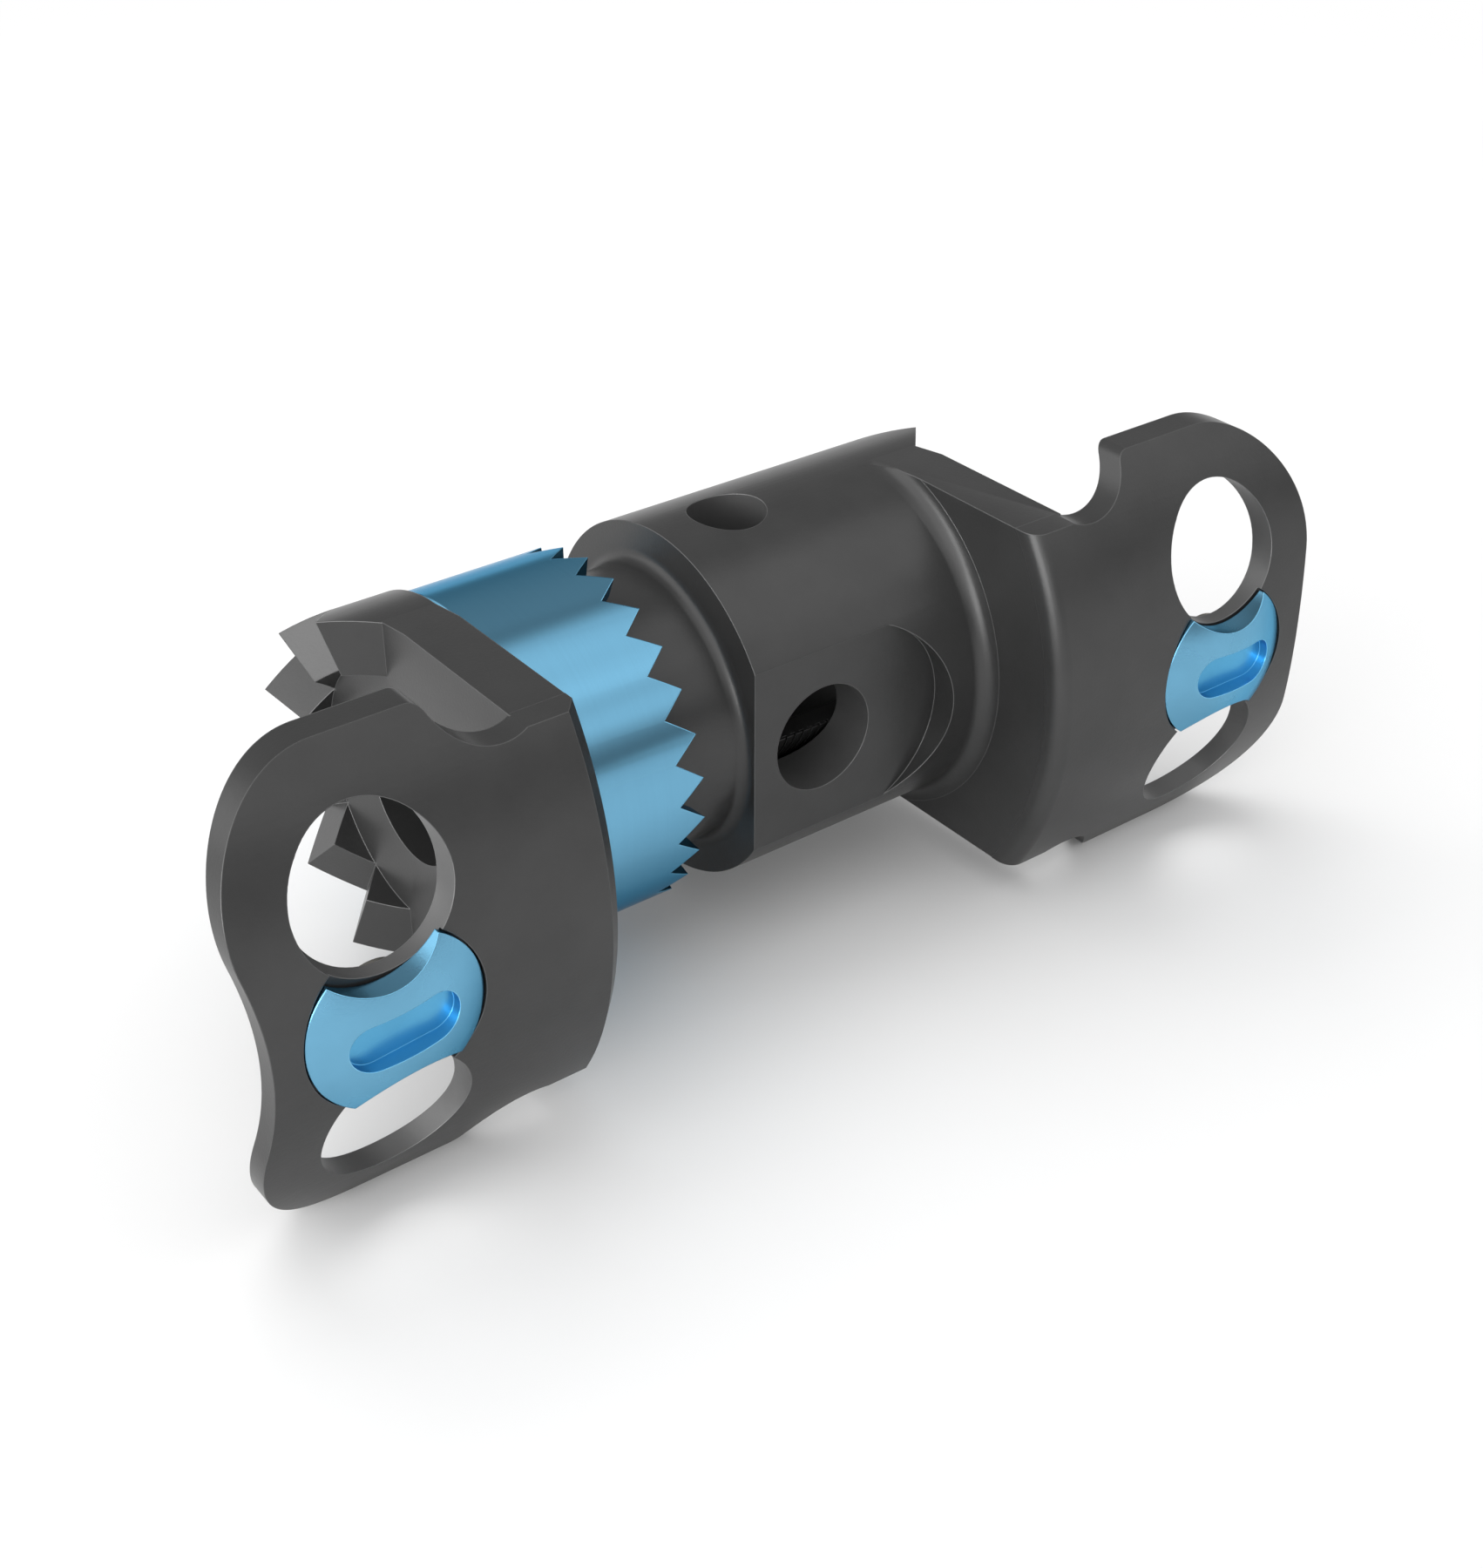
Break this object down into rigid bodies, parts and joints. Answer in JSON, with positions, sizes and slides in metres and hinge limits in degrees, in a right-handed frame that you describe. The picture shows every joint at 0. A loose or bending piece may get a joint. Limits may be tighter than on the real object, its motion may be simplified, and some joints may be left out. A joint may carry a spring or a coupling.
{
  "type": "spinal interbody cage",
  "caption": "Expandable spinal interbody cage: a tube and a sliding post with toothed crowns, an adjusting ring, and fixation plates with screw holes and lock cams.",
  "frame": {"origin": "under the middle of the part's box, at the height of the plates' lower edges", "axes": "+X along the cage's axis from the sliding end to the fixed end; -Y towards the fixation plates, which face the front of the spine; +Z towards one side of the spine"},
  "size_m": [0.0462, 0.0188, 0.0176],
  "materials": {
    "blasted_titanium": "titanium alloy, blasted and grey anodised, matt",
    "bright_titanium": "titanium alloy, turned",
    "blue_anodised_titanium": "titanium alloy, turned and blue anodised, satin"
  },
  "bodies": {
    "cage_body": {"outer_body": "blasted_titanium", "retaining_ring": "bright_titanium", "guide_pin": "bright_titanium"},
    "ring_body": {"adjusting_ring": "blue_anodised_titanium"},
    "sliding_end": {"cranial_end": "blasted_titanium"},
    "cranial_cam": {"cranial_lock_cam": "blue_anodised_titanium", "cranial_cam_collar": "bright_titanium"},
    "caudal_cam": {"caudal_lock_cam": "blue_anodised_titanium", "caudal_cam_collar": "bright_titanium"}
  },
  "joints": [
    {"name": "ring_turn", "type": "hinge", "parent": "cage_body", "child": "ring_body", "pos_m": [-0.00671, 0.00239, 0.00881], "axis": [1, 0, 0], "range_deg": [0, 5850]},
    {"name": "post_slide", "type": "slide", "parent": "cage_body", "child": "sliding_end", "axis": [-1, 0, 0], "range_m": [0, 0.0065]},
    {"name": "cranial_cam_turn", "type": "hinge", "parent": "sliding_end", "child": "cranial_cam", "pos_m": [-0.0184, -0.00865, 0.00881], "axis": [0, 1, 0], "range_deg": [0, 90]},
    {"name": "caudal_cam_turn", "type": "hinge", "parent": "cage_body", "child": "caudal_cam", "pos_m": [0.0184, -0.00865, 0.00881], "axis": [0, 1, 0], "range_deg": [0, 90]}
  ],
  "couplings": [
    {"joint": "ring_turn", "follows": "post_slide", "rad_per_m": 15708}
  ]
}
